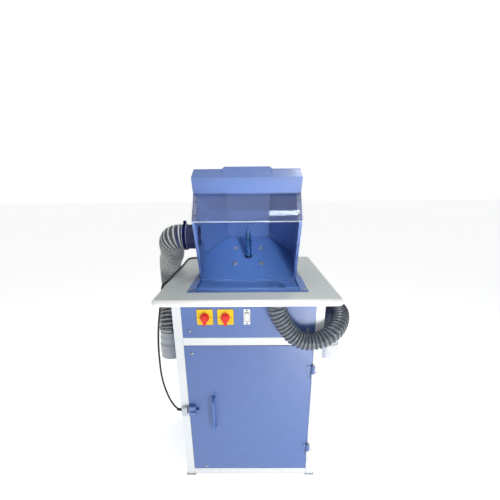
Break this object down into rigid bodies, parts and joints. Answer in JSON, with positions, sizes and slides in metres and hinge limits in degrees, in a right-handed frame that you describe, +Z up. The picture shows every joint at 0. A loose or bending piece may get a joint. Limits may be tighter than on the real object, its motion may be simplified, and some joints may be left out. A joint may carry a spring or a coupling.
{
  "type": "lapping table",
  "caption": "Lapping table: steel cabinet and bench top under a blue hood with a tilted motor spindle, lamp box, clear visor, rotary switches and ribbed suction hoses.",
  "frame": {"origin": "on the floor, below the middle of the bench top", "axes": "+X to the operator's right, +Y away from the operator towards the back, +Z up; metres"},
  "size_m": [0.876, 0.756, 1.37],
  "materials": {
    "white_paint": "semi-gloss powder coat",
    "foot_steel": "satin powder coat",
    "blue_paint": "semi-gloss blue powder coat with a fine orange-peel texture",
    "deep_blue_paint": "semi-gloss blue powder coat",
    "inner_paint": "satin powder coat",
    "bench_laminate": "satin off-white coat",
    "zinc_steel": "bright zinc plating",
    "keeper_paint": "satin light paint",
    "switch_yellow": "gloss",
    "switch_red": "gloss",
    "switch_black": "satin",
    "white_plastic": "gloss",
    "enclosure_grey": "satin",
    "black_rubber": "satin",
    "clear_acrylic": "clear, polished",
    "lamp_glass": "opal white",
    "motor_grey": "grey machine enamel",
    "fan_plastic": "satin",
    "core_steel": "laminated steel",
    "bright_steel": "ground steel",
    "blued_steel": "dark blued, turned",
    "hose_light": "ribbed grey duct hose",
    "hose_dark": "ribbed grey PVC hose",
    "coupler_grey": "satin grey PVC",
    "coupler_white": "satin pale PVC"
  },
  "bodies": {
    "frame": {"frame_legs": "white_paint", "frame_feet": "foot_steel", "frame_rails": "white_paint", "control_panel": "blue_paint", "panel_screws": "zinc_steel", "side_panels": "blue_paint", "rear_panel": "blue_paint", "cabinet_floor": "inner_paint", "starter_box": "enclosure_grey", "contactor": "switch_black", "bench_top": "bench_laminate", "latch_keeper": "keeper_paint", "frame_hinge_leaves": "white_paint", "hinge_pins": "zinc_steel", "switch_plates": "switch_yellow", "switch_bodies": "switch_black", "rocker_body": "white_plastic", "hood_base": "deep_blue_paint", "base_bolts": "zinc_steel", "hood_shell": "blue_paint", "hood_floor": "deep_blue_paint", "spindle_seal": "black_rubber", "lamp_box": "blue_paint", "lamp_cover": "blue_paint", "lamp_lens": "clear_acrylic", "lamp_tube": "lamp_glass", "lamp_holders": "white_plastic", "visor": "clear_acrylic", "visor_screws": "zinc_steel", "side_port": "deep_blue_paint", "drain_port": "deep_blue_paint", "motor_end_shields": "motor_grey", "motor_bolts": "zinc_steel", "motor_housing": "motor_grey", "stator_core": "core_steel", "motor_bearings": "bright_steel", "fan_cowl": "fan_plastic", "terminal_box": "motor_grey", "left_hose": "hose_light", "right_hose": "hose_dark", "hose_cuffs": "hose_dark", "hose_clamps": "zinc_steel", "left_coupler": "coupler_grey", "right_coupler": "coupler_white", "coupler_brackets": "coupler_grey", "lamp_cable": "black_rubber", "cable_glands": "switch_black"},
    "rotor": {"motor_shaft": "bright_steel", "rotor_core": "core_steel", "cooling_fan": "fan_plastic", "spindle": "blued_steel"},
    "left_knob": {"switch_knob_left": "switch_red"},
    "right_knob": {"switch_knob_right": "switch_red"},
    "rocker": {"rocker_paddle": "white_plastic"},
    "door": {"door_panel": "blue_paint", "door_screws": "zinc_steel", "door_handle": "deep_blue_paint", "latch_housing": "deep_blue_paint", "door_hinge_leaves": "blue_paint"},
    "latch": {"latch_bolt": "zinc_steel"}
  },
  "joints": [
    {"name": "spindle_spin", "type": "hinge", "parent": "frame", "child": "rotor", "pos_m": [0, -0.01315, 1.03682], "axis": [0, -0.4226, 0.9063], "continuous": true},
    {"name": "left_switch_turn", "type": "hinge", "parent": "frame", "child": "left_knob", "pos_m": [-0.173, -0.18, 0.825], "axis": [0, -1, 0], "range_deg": [-90, 90]},
    {"name": "right_switch_turn", "type": "hinge", "parent": "frame", "child": "right_knob", "pos_m": [-0.091, -0.18, 0.825], "axis": [0, -1, 0], "range_deg": [-90, 90]},
    {"name": "rocker_tilt", "type": "hinge", "parent": "frame", "child": "rocker", "pos_m": [-0.006, -0.173, 0.825], "axis": [1, 0, 0], "range_deg": [-14, 0]},
    {"name": "door_swing", "type": "hinge", "parent": "frame", "child": "door", "pos_m": [0.27, -0.184, 0.369], "axis": [0, 0, 1], "range_deg": [0, 120]},
    {"name": "latch_slide", "type": "slide", "parent": "door", "child": "latch", "axis": [-1, 0, 0], "range_m": [0, 0.018]}
  ]
}
